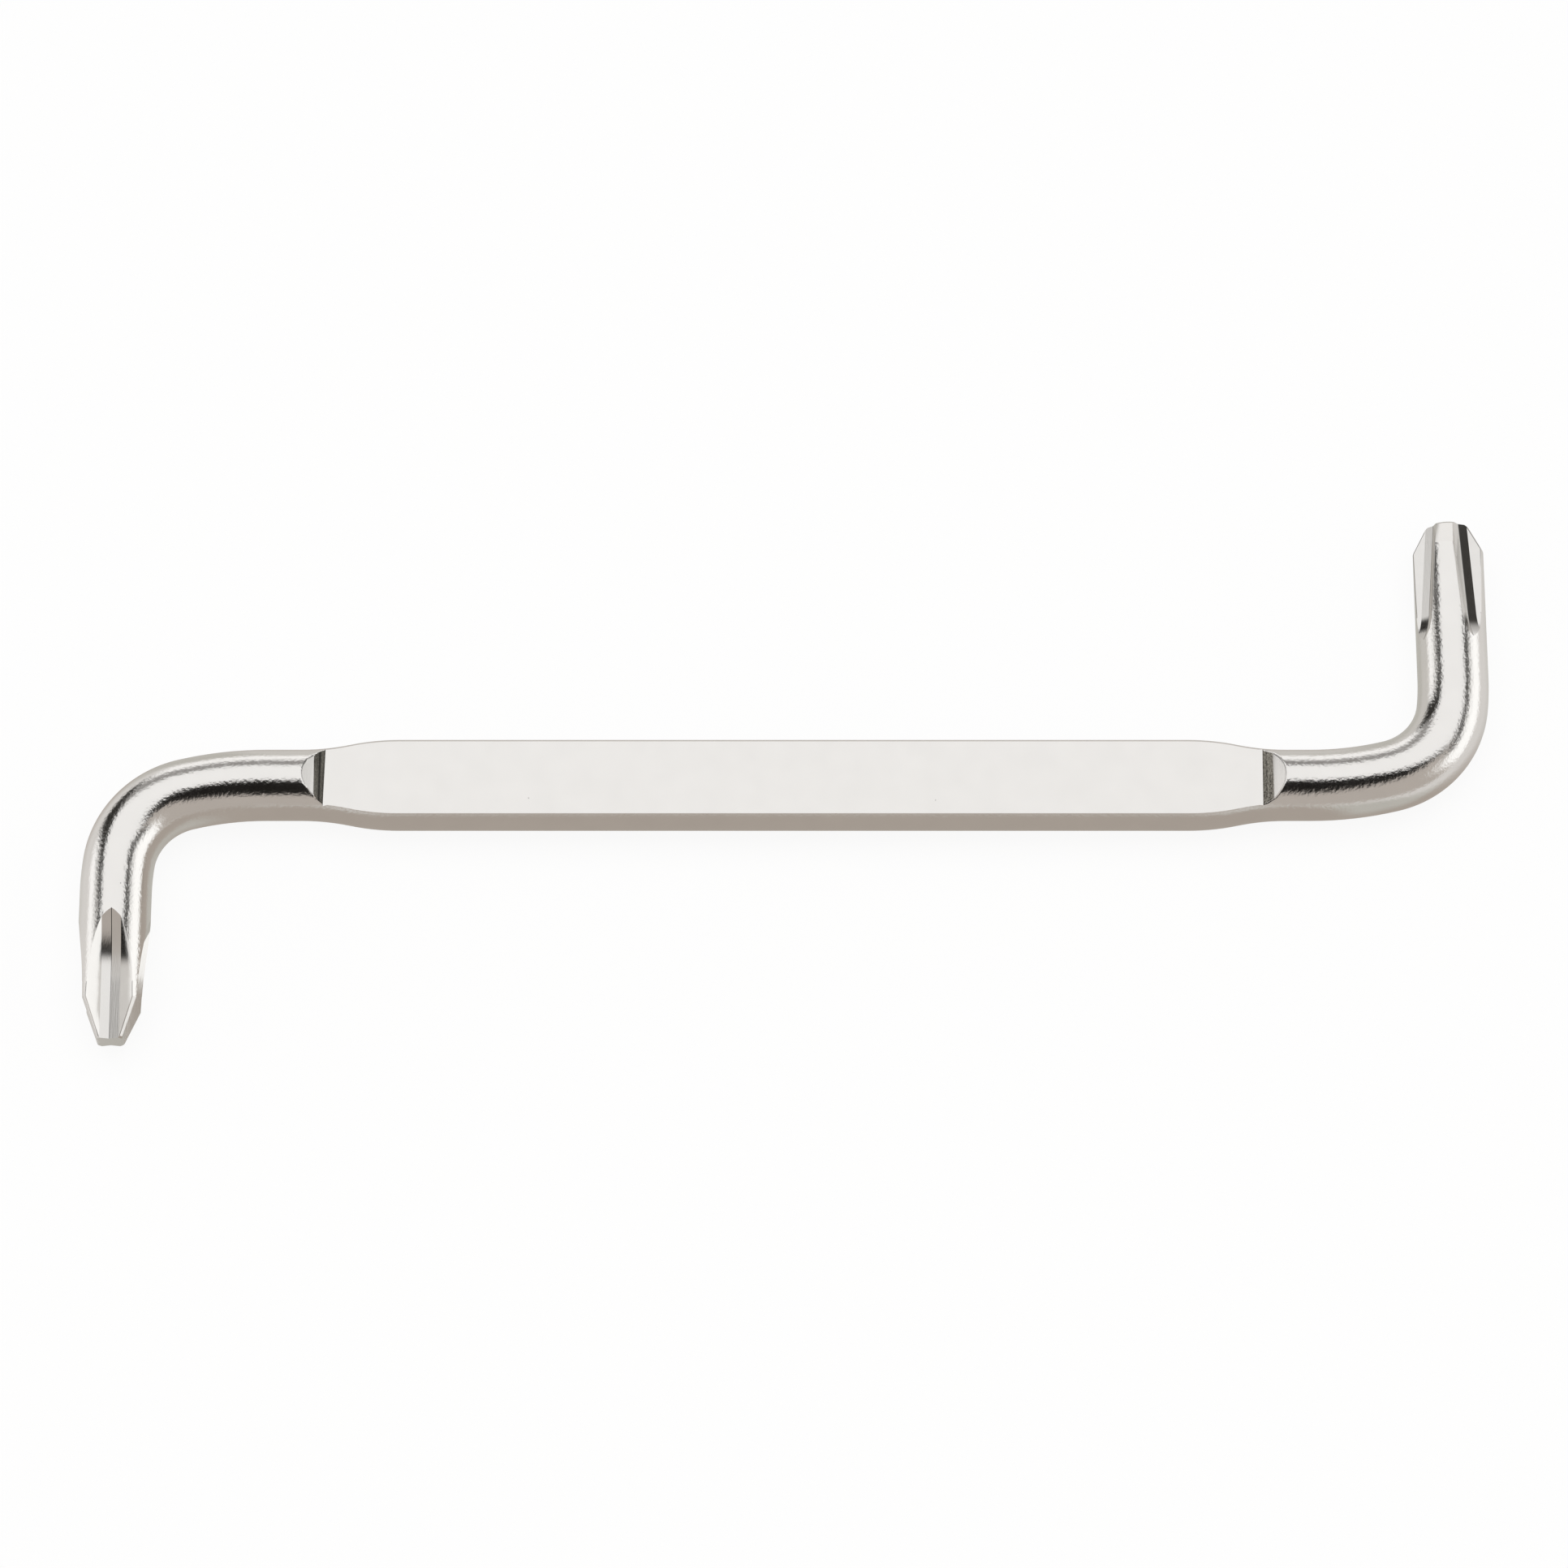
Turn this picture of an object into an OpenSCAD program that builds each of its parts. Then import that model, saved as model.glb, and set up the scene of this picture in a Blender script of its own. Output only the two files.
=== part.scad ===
// Offset screwdriver: one round steel bar, pressed flat in the middle for a handle,
// with both ends bent square to it in opposite directions and ground to cross tips.
// +X runs along the handle towards the large tip, +Y is the way the large tip points,
// and +Z comes out of the upper flat. The tool lies on the plane z = 0.

/* [Bar] */
// Diameter of the round bar
bar_d = 6; // [5:0.25:8]

/* [Handle] */
// Length of each pressed flat between its two shoulders
flat_length = 79; // [50:0.5:120]
// Thickness between the two pressed flats
handle_thickness = 3.7; // [2.6:0.1:4.6]
// How far each bulged edge stands out past the bar's own side
edge_swell = 0.89; // [0.4:0.01:1.3]
// Length over which an edge swells from the bar to its full bulge
swell_length = 8.2; // [5:0.1:20]
// Radius of the rounded shoulder between a flat and the bar
shoulder_r = 8; // [5:0.5:14]
// Slope of a shoulder where it leaves the bar's surface
shoulder_lead_angle = 22.5; // [12:0.5:26]

/* [Bends] */
// Radius of the easy sweep from the neck into the elbow
neck_sweep_r = 28; // [15:0.5:60]
// Part of the right angle that the neck's sweep turns through
neck_sweep_angle = 14; // [5:1:30]
// Radius of the tight elbow, at the bar's centre line
elbow_r = 7.2; // [5:0.1:15]
// Radius of the easy sweep from the elbow into the blade
blade_sweep_r = 22; // [12:0.5:60]
// Part of the right angle that the blade's sweep turns through
blade_sweep_angle = 7; // [2:1:20]

/* [Both tips] */
// Slope of the wings' tapered ends, measured from the blade's axis
nose_taper = 26.5; // [20:0.5:35]
// Bevel round the blunt end of a nose
nose_edge = 0.15; // [0.05:0.05:0.3]
// Slope of a flute's side walls, measured from the flute's floor
flank_angle = 41; // [34:0.5:43]
// Plain round length between a blade and the first of its flutes
tip_lead = 0.4; // [0.2:0.1:3]

/* [Small end] */
// Straight round length between the handle and the small end's bend
small_neck_length = 2.95; // [1:0.05:12]
// Straight round length between the bend and the small tip
small_blade_length = 2.1; // [1.5:0.1:30]
// Length of the small tip's flutes
small_flute_length = 10.8; // [8:0.1:16]
// Diameter over the wings at the small tip's nose
small_nose_d = 2.9; // [2.3:0.05:3.2]
// Diameter across the flute roots at the small tip's nose
small_core_d = 1.65; // [1.2:0.01:1.8]
// Angle of the shallow V in the floor of the small tip's flutes
small_root_angle = 145; // [130:1:160]
// Width of that V
small_root_width = 1.6; // [1.2:0.05:1.9]
// Depth to which the grinding wheel goes in at the end of a small tip's flute
small_plunge = 1.5; // [0.6:0.05:1.6]
// Radius of that wheel
small_wheel_r = 14; // [8:0.5:24]
// Turn of the small tip about its axis, from a flute that faces straight up
small_turn = 0; // [-45:1:45]

/* [Large end] */
// Straight round length between the handle and the large end's bend
large_neck_length = 2.1; // [1:0.05:12]
// Straight round length between the bend and the large tip
large_blade_length = 2.6; // [1.5:0.1:30]
// Length of the large tip's flutes
large_flute_length = 10.9; // [8:0.1:16]
// Diameter over the wings at the large tip's nose
large_nose_d = 3.81; // [3.4:0.01:4.2]
// Diameter across the flute roots at the large tip's nose
large_core_d = 3; // [2.4:0.05:3.3]
// Angle of the shallow V in the floor of the large tip's flutes
large_root_angle = 146; // [136:1:160]
// Width of that V
large_root_width = 1.5; // [1.2:0.05:2]
// Depth to which the grinding wheel goes in at the end of a large tip's flute
large_plunge = 0.45; // [0.2:0.05:0.7]
// Radius of that wheel
large_wheel_r = 7; // [5:0.5:12]
// Turn of the large tip about its axis, from a flute that faces straight up
large_turn = 33; // [-45:1:45]

/* [Hidden] */
$fn = 96;

bar_r = bar_d / 2;
// Cutters run past the material by this much
past = 1;
// Angle by which a grinding wheel runs past both ends of its way in
wheel_past = 6;
// How far a wheel's rim dips below the straight floor, so that the two cuts cross cleanly
wheel_dip = 0.01;
// Facets round a whole grinding wheel
wheel_facets = 1440;

// Shoulder: an arc from the bar's surface down to the flat
flat_z = handle_thickness / 2;
shoulder_drop = bar_r - flat_z;
shoulder_end_angle = acos(cos(shoulder_lead_angle) - shoulder_drop / shoulder_r);
shoulder_run = shoulder_r * (sin(shoulder_end_angle) - sin(shoulder_lead_angle));
handle_half = flat_length / 2 + shoulder_run;

// Swell of an edge: two equal arcs that make an S from the bar's side to the bulge
swell_angle = 2 * atan(edge_swell / swell_length);
swell_r = swell_length / (2 * sin(swell_angle));
straight_half = handle_half - swell_length;

// Bend: easy sweep, tight elbow, easy sweep, a right angle in all
elbow_end_heading = 90 - blade_sweep_angle;
elbow_angle = elbow_end_heading - neck_sweep_angle;
sweep_end = arc_step(neck_sweep_r, 0, neck_sweep_angle);
elbow_end = sweep_end + arc_step(elbow_r, neck_sweep_angle, elbow_end_heading);
bend_end = elbow_end + arc_step(blade_sweep_r, elbow_end_heading, 90);

small_tip_length = small_flute_length + tip_lead;
large_tip_length = large_flute_length + tip_lead;
small_reach = bend_end.y + small_blade_length + small_tip_length;
large_reach = bend_end.y + large_blade_length + large_tip_length;

// The origin is under the middle of the tool's outline
handle_x = (small_neck_length - large_neck_length) / 2;
handle_y = (small_reach - large_reach) / 2;

// Step along an arc of radius r that turns left from one heading to another
function arc_step(r, from, to) = r * [sin(to) - sin(from), cos(from) - cos(to)];

// Round bar along +X from the origin
module straight_bar(length) {
    rotate([0, 90, 0])
        cylinder(r = bar_r, h = length);
}

// Round bar that starts at the origin along +X and turns left
module bent_bar(r, angle) {
    translate([0, r, 0])
        rotate([0, 0, -90])
            rotate_extrude(angle = angle)
                translate([r, 0])
                    circle(r = bar_r);
}

// Puts a piece at a point of an arm, turned to the arm's heading there
module along(point, heading) {
    translate([point.x, point.y, 0])
        rotate([0, 0, heading])
            children();
}

// Puts an arm at the small end of the handle
module small_side() {
    translate([handle_x - handle_half, handle_y, bar_r])
        rotate([0, 0, 180])
            children();
}

// Puts an arm at the large end of the handle
module large_side() {
    translate([handle_x + handle_half, handle_y, bar_r])
        children();
}

// One end of a bulged edge at the handle's +X end: two arcs from the middle of their S
module swell() {
    translate([handle_half - swell_length / 2, edge_swell / 2, 0])
        rotate([0, 0, -swell_angle]) {
            bent_bar(swell_r, swell_angle);
            rotate([0, 0, 180])
                bent_bar(swell_r, swell_angle);
        }
}

// Half of the handle's +X end before it is pressed, on the +Y side of its middle plane
module swell_half() {
    intersection() {
        swell();
        translate([0, 0, -bar_d])
            cube([handle_half + past, 2 * bar_d, 2 * bar_d]);
    }
}

// What the press takes off above the upper flat, with a rounded shoulder at each end
module press_cut() {
    shoulder_x = handle_half + shoulder_r * sin(shoulder_lead_angle);
    shoulder_z = bar_r - shoulder_r * cos(shoulder_lead_angle);
    rotate([90, 0, 0])
        linear_extrude(height = 2 * bar_d, center = true)
            difference() {
                translate([-handle_half, flat_z])
                    square([2 * handle_half, bar_d]);
                for (side = [-1, 1])
                    translate([side * shoulder_x, shoulder_z])
                        circle(r = shoulder_r);
            }
}

// Handle's +X end: its edges draw in to the bar and its flats run out in shoulders
module shoulder() {
    difference() {
        union() {
            swell_half();
            mirror([0, 1, 0])
                swell_half();
        }
        press_cut();
        mirror([0, 0, 1])
            press_cut();
    }
}

// Neck: a straight length and the easy sweep after it
module neck(length) {
    straight_bar(length);
    along([length, 0], 0)
        bent_bar(neck_sweep_r, neck_sweep_angle);
}

// Tight elbow after a neck of the given length
module elbow(neck_length) {
    along([neck_length, 0] + sweep_end, neck_sweep_angle)
        bent_bar(elbow_r, elbow_angle);
}

// Blade: the easy sweep after the elbow and a straight length
module blade(neck_length, length) {
    along([neck_length, 0] + bend_end, 90) {
        mirror([1, 0, 0])
            bent_bar(blade_sweep_r, blade_sweep_angle);
        straight_bar(length);
    }
}

// Puts a tip at the end of a blade
module at_blade_end(neck_length, blade_length) {
    along([neck_length, 0] + bend_end + [0, blade_length], 90)
        children();
}

// Tip before its flutes are ground: round, then tapered to a blunt nose, along +X
module tip_blank(length, nose_d) {
    nose_r = nose_d / 2;
    taper_start = length - nose_edge - (bar_r - nose_r) / tan(nose_taper);
    rotate([0, 90, 0])
        rotate_extrude()
            polygon([
                [0, 0],
                [bar_r, 0],
                [bar_r, taper_start],
                [nose_r, length - nose_edge],
                [nose_r - nose_edge, length],
                [0, length]
            ]);
}

// Outline of a grinding wheel's rim: two walls and a shallow V, with the V's root at
// [base, 0] and the wheel's centre at the origin. Walls as high as the bar's radius
// reach out of the bar at any depth
module wheel_section(base, root_angle, root_width) {
    floor_x = base - root_width / 2 / tan(root_angle / 2);
    wall_w = root_width / 2 + bar_r / tan(flank_angle);
    polygon([
        [base, 0],
        [floor_x, root_width / 2],
        [floor_x - bar_r, wall_w],
        [floor_x - bar_r, -wall_w],
        [floor_x, -root_width / 2]
    ]);
}

// Way of the grinding wheel along one flute: it leaves the bar's surface at the flute's
// end, goes in to its full depth, and runs out straight through the root at the nose
module flute_wheel(length, core_d, root_angle, root_width, plunge, wheel_r) {
    root = [length, core_d / 2];
    leave = [tip_lead, bar_r];
    floor_slope = atan2(leave.y - root.y, root.x - leave.x) - asin(plunge / norm(root - leave));
    onward = [cos(floor_slope), -sin(floor_slope)];
    upward = [sin(floor_slope), cos(floor_slope)];
    run = sqrt(2 * wheel_r * plunge - pow(plunge, 2));
    touch = root + onward * ((leave - root) * onward + run);
    centre = touch + (wheel_r - wheel_dip) * upward;
    leave_angle = atan2(leave.y - centre.y, leave.x - centre.x);
    touch_angle = atan2(touch.y - centre.y, touch.x - centre.x);
    translate([centre.x, 0, centre.y])
        rotate([90, 0, 0]) {
            rotate([0, 0, leave_angle - wheel_past])
                rotate_extrude(angle = touch_angle - leave_angle + 2 * wheel_past, $fn = wheel_facets)
                    wheel_section(wheel_r, root_angle, root_width);
            rotate([0, 0, touch_angle])
                rotate([-90, 0, 0])
                    linear_extrude(height = length)
                        wheel_section(wheel_r - wheel_dip, root_angle, root_width);
        }
}

// Cross tip along +X, with four flutes
module cross_tip(length, nose_d, core_d, root_angle, root_width, plunge, wheel_r, turn) {
    rotate([turn, 0, 0])
        difference() {
            // The blank's seam lies on a wing, clear of the flutes
            rotate([45, 0, 0])
                tip_blank(length, nose_d);
            for (quarter = [0:3])
                rotate([90 * quarter, 0, 0])
                    flute_wheel(length, core_d, root_angle, root_width, plunge, wheel_r);
        }
}

module handle_bar() {
    color("gainsboro")
        translate([handle_x, handle_y, bar_r])
            rotate([90, 0, 90])
                linear_extrude(height = 2 * straight_half, center = true)
                    intersection() {
                        for (side = [-1, 1])
                            translate([side * edge_swell, 0])
                                circle(r = bar_r);
                        square([2 * bar_d, handle_thickness], center = true);
                    }
}

module small_shoulder() {
    color("gainsboro")
        translate([handle_x, handle_y, bar_r])
            rotate([0, 0, 180])
                shoulder();
}

module large_shoulder() {
    color("gainsboro")
        translate([handle_x, handle_y, bar_r])
            shoulder();
}

module small_neck() {
    color("silver")
        small_side()
            neck(small_neck_length);
}

module small_elbow() {
    color("silver")
        small_side()
            elbow(small_neck_length);
}

module small_blade() {
    color("silver")
        small_side()
            blade(small_neck_length, small_blade_length);
}

module small_tip() {
    color("lightgray")
        small_side()
            at_blade_end(small_neck_length, small_blade_length)
                cross_tip(small_tip_length, small_nose_d, small_core_d, small_root_angle,
                          small_root_width, small_plunge, small_wheel_r, small_turn);
}

module large_neck() {
    color("silver")
        large_side()
            neck(large_neck_length);
}

module large_elbow() {
    color("silver")
        large_side()
            elbow(large_neck_length);
}

module large_blade() {
    color("silver")
        large_side()
            blade(large_neck_length, large_blade_length);
}

module large_tip() {
    color("lightgray")
        large_side()
            at_blade_end(large_neck_length, large_blade_length)
                cross_tip(large_tip_length, large_nose_d, large_core_d, large_root_angle,
                          large_root_width, large_plunge, large_wheel_r, large_turn);
}

handle_bar();
small_shoulder();
small_neck();
small_elbow();
small_blade();
small_tip();
large_shoulder();
large_neck();
large_elbow();
large_blade();
large_tip();
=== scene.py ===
"""Plated offset screwdriver with a small and a large cross tip, on its packed frame, in a light tent.

The tool is modelled in five pieces: the pressed handle, an arm at each end that holds the bend, and
the two ground tips. Sizes are in metres and the frame is the packed model's own: +X along the handle
towards the large tip, +Y the way the large tip points, and +Z out of the upper flat.
"""

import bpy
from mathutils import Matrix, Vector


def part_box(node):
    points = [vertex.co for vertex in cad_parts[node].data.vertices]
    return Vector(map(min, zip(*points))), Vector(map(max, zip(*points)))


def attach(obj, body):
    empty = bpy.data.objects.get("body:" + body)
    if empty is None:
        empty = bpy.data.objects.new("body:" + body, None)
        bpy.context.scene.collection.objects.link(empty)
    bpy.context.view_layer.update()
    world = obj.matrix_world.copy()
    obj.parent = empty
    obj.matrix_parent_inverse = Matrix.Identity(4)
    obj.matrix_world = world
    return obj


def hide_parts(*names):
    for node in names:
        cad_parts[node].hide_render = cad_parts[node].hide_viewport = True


bl_info = {
    "name": "Offset screwdriver",
    "version": (1, 0, 0),
    "blender": (4, 5, 0),
    "location": "3D View > Sidebar > Screwdriver",
    "description": "Models a plated offset screwdriver and the light tent that it is pictured in",
    "category": "Object",
}

import math

import bmesh
import bpy
from bpy.props import FloatProperty, FloatVectorProperty, IntProperty, PointerProperty
from bpy.types import Operator, Panel, PropertyGroup
from mathutils import Matrix, Vector

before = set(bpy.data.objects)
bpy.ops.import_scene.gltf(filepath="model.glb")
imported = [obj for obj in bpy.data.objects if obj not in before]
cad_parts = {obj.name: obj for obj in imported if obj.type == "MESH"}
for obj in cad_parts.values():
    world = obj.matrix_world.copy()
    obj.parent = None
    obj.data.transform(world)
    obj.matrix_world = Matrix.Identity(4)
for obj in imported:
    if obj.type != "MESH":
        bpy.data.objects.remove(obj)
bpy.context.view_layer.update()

# Places that the packed frame gives
HANDLE_LOW, HANDLE_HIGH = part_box("handle_bar")
HANDLE_MIDDLE = (HANDLE_LOW + HANDLE_HIGH) / 2
STRAIGHT_HALF = (HANDLE_HIGH.x - HANDLE_LOW.x) / 2
HANDLE_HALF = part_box("large_shoulder")[1].x - HANDLE_MIDDLE.x

# Points closer than this are one point
NEAR = 2e-6
# Faces that meet at less than this angle are shaded as one surface
SMOOTH_ANGLE = math.radians(9)
# Points round the bar, the same on every piece so that the pieces' end rings match
RING_POINTS = 84


def size(name, description, default):
    """Property for a length in metres."""
    return FloatProperty(name=name, description=description, default=default, unit="LENGTH", precision=5)


def turn(name, description, degrees):
    """Property for an angle, given in degrees."""
    return FloatProperty(
        name=name, description=description, default=math.radians(degrees), unit="ROTATION"
    )


def share(name, description, default):
    """Property for a share from 0 to 1."""
    return FloatProperty(
        name=name, description=description, default=default, min=0, max=1, subtype="FACTOR"
    )


def colour(name, description, default):
    """Property for a linear colour."""
    return FloatVectorProperty(
        name=name, description=description, default=default, size=3, min=0, max=2, subtype="COLOR"
    )


class BarSizes(PropertyGroup):
    """Sizes of the bar, the pressed handle and the bends."""

    bar_d: size("Bar diameter", "Diameter of the round bar", 0.006)
    flat_length: size("Flat length", "Length of each pressed flat between its shoulders", 0.079)
    thickness: size("Handle thickness", "Thickness between the two pressed flats", 0.0037)
    edge_swell: size("Edge swell", "How far a bulged edge stands out past the bar's side", 0.00089)
    edge_round: size("Edge rounding", "Width of the rounding round the flats and shoulders", 0.00012)
    strip_run: size("Strip run", "Length of the rough strip at the foot of a shoulder", 0.00083)
    neck_sweep_r: size("Neck sweep radius", "Radius of the sweep from the neck into the elbow", 0.028)
    neck_sweep: turn("Neck sweep angle", "Angle that the neck's sweep turns through", 14)
    elbow_r: size("Elbow radius", "Radius of the tight elbow at the bar's centre line", 0.0072)
    blade_sweep_r: size("Blade sweep radius", "Radius of the sweep from the elbow into the blade", 0.022)
    blade_sweep: turn("Blade sweep angle", "Angle that the blade's sweep turns through", 7)


class SmallEnd(PropertyGroup):
    """Sizes of the small end's arm and tip."""

    neck_length: size("Neck length", "Straight length between the handle and the bend", 0.00295)
    strip_rise: size("Strip rise", "Height of the rough strip at the foot of the shoulder", 0.00055)
    nose_d: size("Nose diameter", "Diameter over the wings at the nose", 0.0029)
    core_d: size("Core diameter", "Diameter across the flute roots at the nose", 0.00165)
    root_angle: turn("Root angle", "Angle of the shallow V in the floor of a flute", 145)
    root_width: size("Root width", "Width of that V", 0.0016)
    plunge: size("Plunge", "Depth to which the wheel goes in at the end of a flute", 0.0015)
    wheel_r: size("Wheel radius", "Radius of that wheel", 0.014)
    tip_turn: turn("Tip turn", "Turn of the tip from a flute that faces straight up", 0)


class LargeEnd(PropertyGroup):
    """Sizes of the large end's arm and tip."""

    neck_length: size("Neck length", "Straight length between the handle and the bend", 0.0021)
    strip_rise: size("Strip rise", "Height of the rough strip at the foot of the shoulder", 0.00036)
    nose_d: size("Nose diameter", "Diameter over the wings at the nose", 0.00381)
    core_d: size("Core diameter", "Diameter across the flute roots at the nose", 0.003)
    root_angle: turn("Root angle", "Angle of the shallow V in the floor of a flute", 146)
    root_width: size("Root width", "Width of that V", 0.0015)
    plunge: size("Plunge", "Depth to which the wheel goes in at the end of a flute", 0.00045)
    wheel_r: size("Wheel radius", "Radius of that wheel", 0.007)
    tip_turn: turn("Tip turn", "Turn of the tip from a flute that faces straight up", 33)


class TipSizes(PropertyGroup):
    """Sizes that both tips share."""

    nose_taper: turn("Nose taper", "Slope of the wings' tapered ends from the blade's axis", 26.5)
    nose_edge: size("Nose edge", "Bevel round the blunt end of a nose", 0.00015)
    flank_angle: turn("Flank angle", "Slope of a flute's side walls from its floor", 41)
    tip_lead: size("Tip lead", "Plain length between the blade and the flutes", 0.0004)
    # The root line is a thin strip of painted shade along the crease in a flute's floor
    edge_round: size("Edge rounding", "Width of the rounding along the wings' edges", 0.00005)
    root_line: size("Root line", "Half width of the dull line along the root of a flute", 0.00003)
    wheel_steps: IntProperty(
        name="Wheel steps", description="Steps along a ground flute", default=28, min=8, max=96
    )


class Finishes(PropertyGroup):
    """Colours and gloss of the plating."""

    plate: colour("Plate", "Colour of the bright nickel-chrome plate", (0.80, 0.785, 0.765))
    plate_gloss: share("Plate roughness", "Roughness of the bright plate", 0.13)
    flat: colour("Flat", "Colour of the brushed flats", (0.76, 0.745, 0.725))
    flat_gloss: share("Flat roughness", "Roughness of the brushed flats", 0.26)
    flute: colour("Flute", "Colour of the ground flutes", (0.755, 0.74, 0.72))
    flute_gloss: share("Flute roughness", "Roughness of the ground flutes", 0.12)
    # The strip's dark colour is partly its rough finish and partly painted shade
    strip: colour("Strip", "Colour of the unpolished strip in a shoulder", (0.30, 0.285, 0.25))


class StageSettings(PropertyGroup):
    """Camera, floor and light."""

    elevation: turn("Elevation", "Height of the camera over the floor, as an angle", 68.2)
    distance: size("Distance", "From the camera to the point that it looks at", 0.566)
    field: size("Field", "Width of the view at that point", 0.1321)
    aim: FloatVectorProperty(
        name="Aim",
        description="Point that the camera looks at",
        default=(-0.00039, -0.00015, 0.00294),
        size=3,
        subtype="TRANSLATION",
        unit="LENGTH",
    )
    floor_width: size("Floor width", "Width of the square floor", 4.0)
    floor_front: colour("Floor in front", "Colour that the plating mirrors in front", (0.47, 0.42, 0.375))
    floor_behind: colour("Floor behind", "Colour that the plating mirrors behind", (0.68, 0.66, 0.63))
    # Painted shadow: the floor that the legs' inner sides mirror is darker, where the legs and handle
    # shade it
    floor_shadow_inside: colour(
        "Floor inside the bends", "Colour that the legs' inner sides mirror", (0.58, 0.565, 0.525)
    )
    floor_sides: colour(
        "Floor at the sides", "Colour that the plating mirrors past the legs", (0.8, 0.78, 0.76)
    )
    backdrop: share("Backdrop", "Share of plain white in the floor that the camera sees", 0.9)
    fill_light: FloatProperty(
        name="Fill light", description="Power of the overhead fill lamp", default=4.0, unit="POWER"
    )


class TentTones(PropertyGroup):
    """Tones of the light tent that the plating mirrors."""

    front: colour("Front", "Colour of the cloth towards the camera", (0.53, 0.485, 0.445))
    behind: colour("Behind", "Colour of the cloth away from the camera", (0.60, 0.59, 0.575))
    back_wall: colour("Back wall", "Colour of the bright wall behind", (1.12, 1.11, 1.10))
    right_wall: colour("Right wall", "Colour of the bright wall on the right", (1.25, 1.25, 1.24))
    left_wall: colour("Left wall", "Colour of the bright wall on the left", (1.18, 1.17, 1.16))
    left_end: colour("Left end", "Colour below the wall on the left", (0.72, 0.71, 0.69))
    left_gap: colour("Left gap", "Colour of the gap on the panel's left", (0.03, 0.028, 0.025))
    back_gap: colour("Back gap", "Colour of the gap behind the panel", (0.32, 0.31, 0.30))
    right_gap: colour("Right gap", "Colour of the gap on the panel's right", (0.05, 0.047, 0.043))
    front_gap: colour("Front gap", "Colour of the gap in front of the panel", (0.012, 0.011, 0.010))
    panel: colour("Panel", "Colour of the lit panel overhead", (1.05, 1.045, 1.04))


def sizes():
    return bpy.context.scene.bar_sizes


def tip_sizes():
    return bpy.context.scene.tip_sizes


class Socket:
    """Shader output that works in arithmetic: each operation adds a Math node."""

    def __init__(self, graph, output):
        self.graph = graph
        self.output = output

    def math(self, operation, first, second=0.0):
        return self.graph.add("ShaderNodeMath", {"operation": operation}, {0: first, 1: second})

    def __add__(self, other):
        return self.math("ADD", self, other)

    def __radd__(self, other):
        return self.math("ADD", other, self)

    def __sub__(self, other):
        return self.math("SUBTRACT", self, other)

    def __rsub__(self, other):
        return self.math("SUBTRACT", other, self)

    def __mul__(self, other):
        return self.math("MULTIPLY", self, other)

    def __rmul__(self, other):
        return self.math("MULTIPLY", other, self)

    def __truediv__(self, other):
        return self.math("DIVIDE", self, other)

    def __abs__(self):
        return self.math("ABSOLUTE", self)

    def above(self, low):
        """This value, or low where it is less."""
        return self.math("MAXIMUM", self, low)

    def root(self):
        return self.math("SQRT", self)

    def arccos(self):
        return self.math("ARCCOSINE", self)

    def rise(self, low, high):
        """Soft step from 0 at low to 1 at high."""
        settings = {"interpolation_type": "SMOOTHSTEP"}
        return self.graph.add("ShaderNodeMapRange", settings, {0: self, 1: low, 2: high})

    def between(self, low, high, soft):
        """1 between low and high and 0 outside, with soft edges."""
        return self.rise(low - soft, low + soft) * (1 - self.rise(high - soft, high + soft))


class Graph:
    """Node tree of a material or the world."""

    def __init__(self, tree):
        self.tree = tree
        tree.nodes.clear()

    def add(self, kind, settings=None, sockets=None, output=0):
        """Adds a node: its settings first, then the values and links of its sockets."""
        node = self.tree.nodes.new(kind)
        for key, value in (settings or {}).items():
            setattr(node, key, value)
        for key, value in (sockets or {}).items():
            if isinstance(value, Socket):
                self.tree.links.new(value.output, node.inputs[key])
            else:
                node.inputs[key].default_value = value
        return Socket(self, node.outputs[output]) if node.outputs else None

    def mix(self, factor, first, second):
        """Blend of two colours."""
        settings = {"data_type": "RGBA", "clamp_factor": True}
        return self.add("ShaderNodeMix", settings, {0: factor, 6: first, 7: second}, output=2)

    def split(self, vector):
        """The three parts of a vector."""
        parts = self.add("ShaderNodeSeparateXYZ", None, {0: vector})
        return [Socket(self, output) for output in parts.output.node.outputs]

    def place(self, stretch=(1, 1, 1)):
        """Object coordinates, with a pattern's size along each axis multiplied by stretch."""
        point = self.add("ShaderNodeTexCoord", output=3)
        squeeze = [1 / amount for amount in stretch]
        return self.add("ShaderNodeMapping", None, {"Vector": point, "Scale": squeeze})

    def noise(self, point, grain, detail=2.0):
        """Noise from 0 to 1 whose lumps are about one grain across."""
        sockets = {"Vector": point, "Scale": 1 / grain, "Detail": detail}
        return self.add("ShaderNodeTexNoise", None, sockets)

    def ray(self, kind):
        """1 for one kind of ray and 0 for the others."""
        return self.add("ShaderNodeLightPath", output=kind)

    def pits(self, point, spacing, radius):
        """1 in small round pits and 0 between them."""
        sockets = {"Vector": point, "Scale": 1 / spacing}
        distance = self.add("ShaderNodeTexVoronoi", None, sockets)
        return 1 - distance.rise(0.5 * radius / spacing, radius / spacing)


def rgba(shade, strength=1.0):
    return (*(strength * channel for channel in shade), 1.0)


def finish_metal(graph, base, roughness, height, relief):
    """Ends a metal's graph in its shader: height is from 0 to 1, and relief its depth in metres."""
    bump = graph.add("ShaderNodeBump", None, {"Height": height, "Distance": relief, "Strength": 1.0})
    sockets = {"Base Color": base, "Roughness": roughness, "Metallic": 1.0, "Normal": bump}
    shader = graph.add("ShaderNodeBsdfPrincipled", None, sockets)
    graph.add("ShaderNodeOutputMaterial", None, {"Surface": shader})


def new_graph(name):
    material = bpy.data.materials.get(name) or bpy.data.materials.new(name)
    material.use_nodes = True
    return material, Graph(material.node_tree)


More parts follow.
